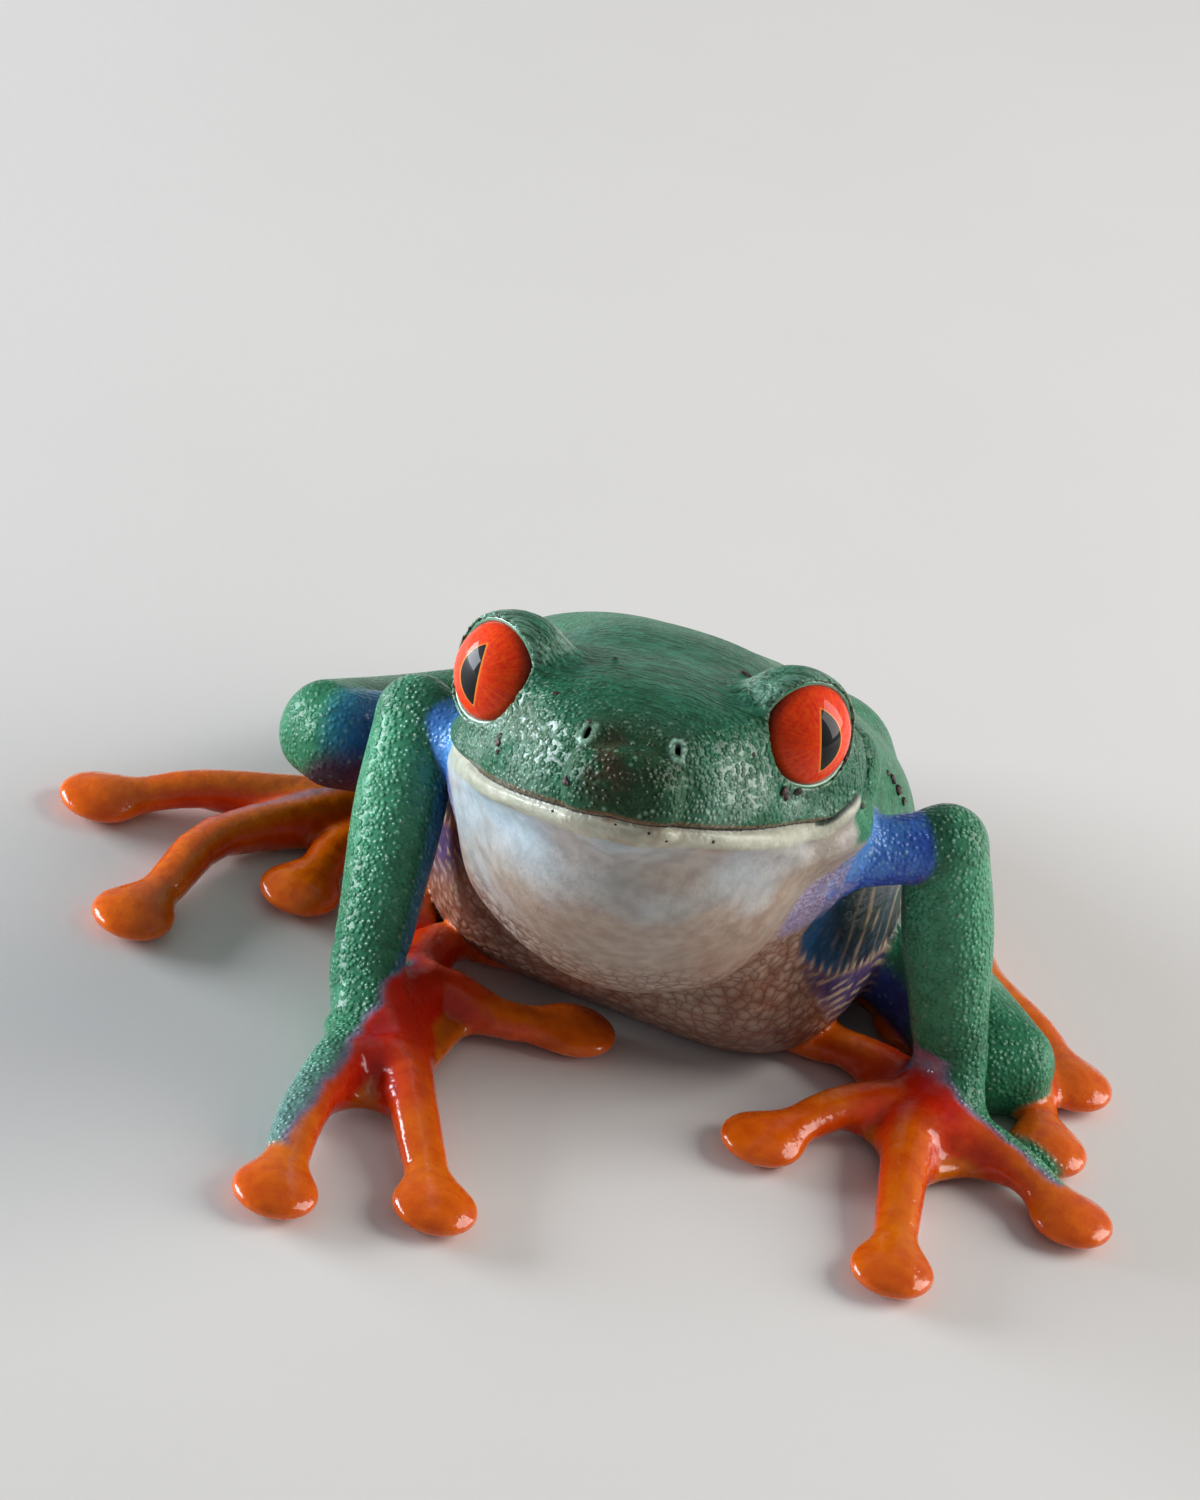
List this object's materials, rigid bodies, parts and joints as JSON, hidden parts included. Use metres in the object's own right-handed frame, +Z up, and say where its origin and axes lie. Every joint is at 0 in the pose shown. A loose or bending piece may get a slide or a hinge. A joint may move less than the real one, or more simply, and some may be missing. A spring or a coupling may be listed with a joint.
{
  "type": "red-eyed tree frog",
  "caption": "Life-size tree frog sitting alert with its head raised, forelegs planted and toes spread; green back, pale throat, blue flanks, orange feet and red slit-pupil eyes.",
  "frame": {"origin": "middle of the belly where it rests on the floor", "axes": "+Z up, away from the floor; the frog faces -Y and its left side is +X"},
  "size_m": [0.0601, 0.0601, 0.029],
  "materials": {
    "skin_green": "moist, finely granular",
    "skin_pale": "moist, smooth to granular",
    "skin_blue": "moist, finely wrinkled",
    "skin_orange": "wet, smooth",
    "eye": "wet, clear-coated"
  },
  "bodies": {
    "root": {"head": "skin_green", "lower_jaw": "skin_pale", "trunk": "skin_green", "eye_right": "eye", "upper_arm_right": "skin_blue", "forearm_right": "skin_green", "hand_right": "skin_orange", "finger_1_right": "skin_orange", "finger_2_right": "skin_orange", "finger_3_right": "skin_orange", "finger_4_right": "skin_orange", "thigh_right": "skin_green", "shank_right": "skin_green", "tarsus_right": "skin_blue", "foot_right": "skin_orange", "toe_1_right": "skin_orange", "toe_2_right": "skin_orange", "toe_3_right": "skin_orange", "toe_4_right": "skin_orange", "toe_5_right": "skin_orange", "eye_left": "eye", "upper_arm_left": "skin_blue", "forearm_left": "skin_green", "hand_left": "skin_orange", "finger_1_left": "skin_orange", "finger_2_left": "skin_orange", "finger_3_left": "skin_orange", "finger_4_left": "skin_orange", "thigh_left": "skin_green", "shank_left": "skin_green", "tarsus_left": "skin_blue", "foot_left": "skin_orange", "toe_1_left": "skin_orange", "toe_2_left": "skin_orange", "toe_3_left": "skin_orange", "toe_4_left": "skin_orange", "toe_5_left": "skin_orange"}
  },
  "joints": []
}
